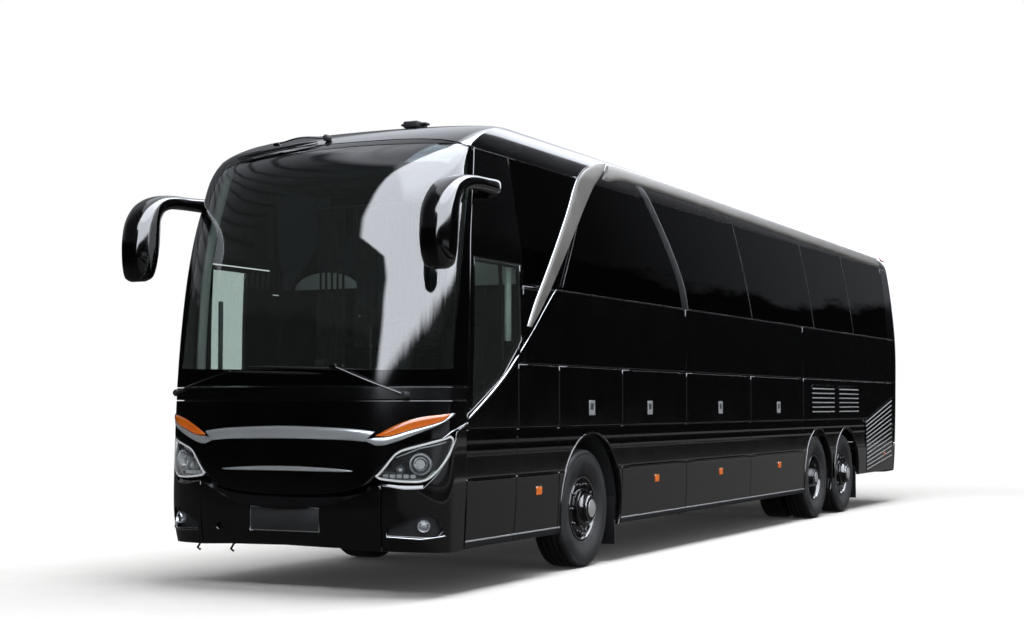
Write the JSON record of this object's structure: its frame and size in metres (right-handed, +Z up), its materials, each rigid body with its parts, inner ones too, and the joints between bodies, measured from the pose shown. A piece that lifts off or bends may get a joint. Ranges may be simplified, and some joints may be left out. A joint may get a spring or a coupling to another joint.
{
  "type": "coach bus",
  "caption": "High-deck touring coach with a curved windscreen, steered front wheels, swing-out doors, lift-up luggage flaps, an engine lid and roof hatches.",
  "frame": {"origin": "on the ground, on the centre plane, at the middle of the overall length with the mirrors", "axes": "+X forward, +Y to the coach's left, +Z up"},
  "size_m": [14.5184, 3.0084, 3.88],
  "materials": {
    "body_paint": "gloss black paint",
    "dark_glass": "dark tinted glass",
    "clear_glass": "clear laminated glass",
    "frame_steel": "matt grey primer",
    "machined_steel": "machined",
    "rim_paint": "gloss black paint",
    "tyre": "black tread rubber",
    "lamp": "clear lens over bright reflector",
    "tail_lamp": "red lens",
    "black_plastic": "moulded black plastic",
    "trim_plastic": "soft grey trim",
    "seat_fabric": "woven dark cloth",
    "floor_covering": "grained vinyl",
    "engine_iron": "painted casting"
  },
  "bodies": {
    "coach_body": {"chassis_frame": "frame_steel", "passenger_deck": "floor_covering", "cockpit_floor": "floor_covering", "luggage_hold": "floor_covering", "wheel_housings": "black_plastic", "side_wall_left": "body_paint", "side_wall_right": "body_paint", "roof": "body_paint", "front_mask": "body_paint", "front_bumper": "body_paint", "rear_wall": "body_paint", "rear_bumper": "body_paint", "windscreen": "clear_glass", "side_windows_left": "dark_glass", "side_windows_right": "dark_glass", "rear_window": "dark_glass", "roof_air_unit": "black_plastic", "mirror_left": "body_paint", "mirror_right": "body_paint", "headlamps": "lamp", "tail_lamps": "tail_lamp", "wipers": "black_plastic", "dashboard": "black_plastic", "driver_seat": "seat_fabric", "passenger_seats": "seat_fabric", "luggage_racks": "trim_plastic", "engine": "engine_iron", "front_axle": "frame_steel", "drive_axle": "frame_steel", "tag_axle": "frame_steel"},
    "front_left_knuckle": {"front_left_knuckle": "machined_steel"},
    "front_right_knuckle": {"front_right_knuckle": "machined_steel"},
    "front_left_wheel": {"front_left_tyre": "tyre", "front_left_rim": "rim_paint"},
    "front_right_wheel": {"front_right_tyre": "tyre", "front_right_rim": "rim_paint"},
    "drive_left_wheels": {"drive_left_tyres": "tyre", "drive_left_rims": "rim_paint"},
    "drive_right_wheels": {"drive_right_tyres": "tyre", "drive_right_rims": "rim_paint"},
    "tag_left_wheel": {"tag_left_tyre": "tyre", "tag_left_rim": "rim_paint"},
    "tag_right_wheel": {"tag_right_tyre": "tyre", "tag_right_rim": "rim_paint"},
    "steering_wheel": {"steering_wheel": "black_plastic"},
    "front_door_arms": {"front_door_arms": "machined_steel"},
    "front_door": {"front_door": "body_paint", "front_door_glass": "clear_glass"},
    "mid_door_arms": {"mid_door_arms": "machined_steel"},
    "mid_door": {"mid_door": "body_paint"},
    "luggage_flap_left_1": {"luggage_flap_left_1": "body_paint"},
    "luggage_flap_left_2": {"luggage_flap_left_2": "body_paint"},
    "luggage_flap_left_3": {"luggage_flap_left_3": "body_paint"},
    "luggage_flap_right_1": {"luggage_flap_right_1": "body_paint"},
    "luggage_flap_right_2": {"luggage_flap_right_2": "body_paint"},
    "luggage_flap_right_3": {"luggage_flap_right_3": "body_paint"},
    "engine_lid": {"engine_lid": "body_paint"},
    "roof_hatch_front": {"roof_hatch_front": "black_plastic"},
    "roof_hatch_rear": {"roof_hatch_rear": "black_plastic"}
  },
  "joints": [
    {"name": "front_left_steer", "type": "hinge", "parent": "coach_body", "child": "front_left_knuckle", "pos_m": [4.142, 0.9, 0.522], "axis": [0, 0, 1], "range_deg": [-45, 45]},
    {"name": "front_right_steer", "type": "hinge", "parent": "coach_body", "child": "front_right_knuckle", "pos_m": [4.142, -0.9, 0.522], "axis": [0, 0, 1], "range_deg": [-45, 45]},
    {"name": "front_left_roll", "type": "hinge", "parent": "front_left_knuckle", "child": "front_left_wheel", "pos_m": [4.142, 1.051, 0.522], "axis": [0, 1, 0], "continuous": true},
    {"name": "front_right_roll", "type": "hinge", "parent": "front_right_knuckle", "child": "front_right_wheel", "pos_m": [4.142, -1.051, 0.522], "axis": [0, 1, 0], "continuous": true},
    {"name": "drive_left_roll", "type": "hinge", "parent": "coach_body", "child": "drive_left_wheels", "pos_m": [-3.008, 1.086, 0.522], "axis": [0, 1, 0], "continuous": true},
    {"name": "drive_right_roll", "type": "hinge", "parent": "coach_body", "child": "drive_right_wheels", "pos_m": [-3.008, -1.086, 0.522], "axis": [0, 1, 0], "continuous": true},
    {"name": "tag_left_roll", "type": "hinge", "parent": "coach_body", "child": "tag_left_wheel", "pos_m": [-4.358, 1.071, 0.522], "axis": [0, 1, 0], "continuous": true},
    {"name": "tag_right_roll", "type": "hinge", "parent": "coach_body", "child": "tag_right_wheel", "pos_m": [-4.358, -1.071, 0.522], "axis": [0, 1, 0], "continuous": true},
    {"name": "steering_wheel_turn", "type": "hinge", "parent": "coach_body", "child": "steering_wheel", "pos_m": [6.222, 0.64, 1.99], "axis": [-0.4695, 0, 0.8829], "range_deg": [-810, 810]},
    {"name": "front_door_swing", "type": "hinge", "parent": "coach_body", "child": "front_door_arms", "pos_m": [6.307, -1.175, 1.2], "axis": [0, 0, 1], "range_deg": [0, 130]},
    {"name": "front_door_level", "type": "hinge", "parent": "front_door_arms", "child": "front_door", "pos_m": [5.827, -1.14988, 1.2], "axis": [0, 0, 1], "range_deg": [-130, 0]},
    {"name": "mid_door_swing", "type": "hinge", "parent": "coach_body", "child": "mid_door_arms", "pos_m": [-2.235, -1.175, 1.2], "axis": [0, 0, -1], "range_deg": [0, 130]},
    {"name": "mid_door_level", "type": "hinge", "parent": "mid_door_arms", "child": "mid_door", "pos_m": [-1.755, -1.14988, 1.2], "axis": [0, 0, -1], "range_deg": [-130, 0]},
    {"name": "luggage_flap_left_1_lift", "type": "hinge", "parent": "coach_body", "child": "luggage_flap_left_1", "pos_m": [2.626, 1.275, 1.76], "axis": [1, 0, 0], "range_deg": [0, 95]},
    {"name": "luggage_flap_left_2_lift", "type": "hinge", "parent": "coach_body", "child": "luggage_flap_left_2", "pos_m": [0.7555, 1.275, 1.76], "axis": [1, 0, 0], "range_deg": [0, 95]},
    {"name": "luggage_flap_left_3_lift", "type": "hinge", "parent": "coach_body", "child": "luggage_flap_left_3", "pos_m": [-1.3035, 1.275, 1.76], "axis": [1, 0, 0], "range_deg": [0, 95]},
    {"name": "luggage_flap_right_1_lift", "type": "hinge", "parent": "coach_body", "child": "luggage_flap_right_1", "pos_m": [2.626, -1.275, 1.76], "axis": [-1, 0, 0], "range_deg": [0, 95]},
    {"name": "luggage_flap_right_2_lift", "type": "hinge", "parent": "coach_body", "child": "luggage_flap_right_2", "pos_m": [0.7555, -1.275, 1.76], "axis": [-1, 0, 0], "range_deg": [0, 95]},
    {"name": "luggage_flap_right_3_lift", "type": "hinge", "parent": "coach_body", "child": "luggage_flap_right_3", "pos_m": [-0.8555, -1.275, 1.76], "axis": [-1, 0, 0], "range_deg": [0, 95]},
    {"name": "engine_lid_lift", "type": "hinge", "parent": "coach_body", "child": "engine_lid", "pos_m": [-7.234, 0, 1.892], "axis": [0, 1, 0], "range_deg": [0, 80]},
    {"name": "roof_hatch_front_tilt", "type": "hinge", "parent": "coach_body", "child": "roof_hatch_front", "pos_m": [2.814, 0, 3.855], "axis": [0, 1, 0], "range_deg": [0, 60]},
    {"name": "roof_hatch_rear_tilt", "type": "hinge", "parent": "coach_body", "child": "roof_hatch_rear", "pos_m": [-4.086, 0, 3.855], "axis": [0, 1, 0], "range_deg": [0, 60]}
  ],
  "couplings": [
    {"joint": "front_right_steer", "follows": "front_left_steer", "ratio": 1},
    {"joint": "steering_wheel_turn", "follows": "front_left_steer", "ratio": 18},
    {"joint": "front_door_level", "follows": "front_door_swing", "ratio": -1},
    {"joint": "mid_door_level", "follows": "mid_door_swing", "ratio": -1}
  ]
}
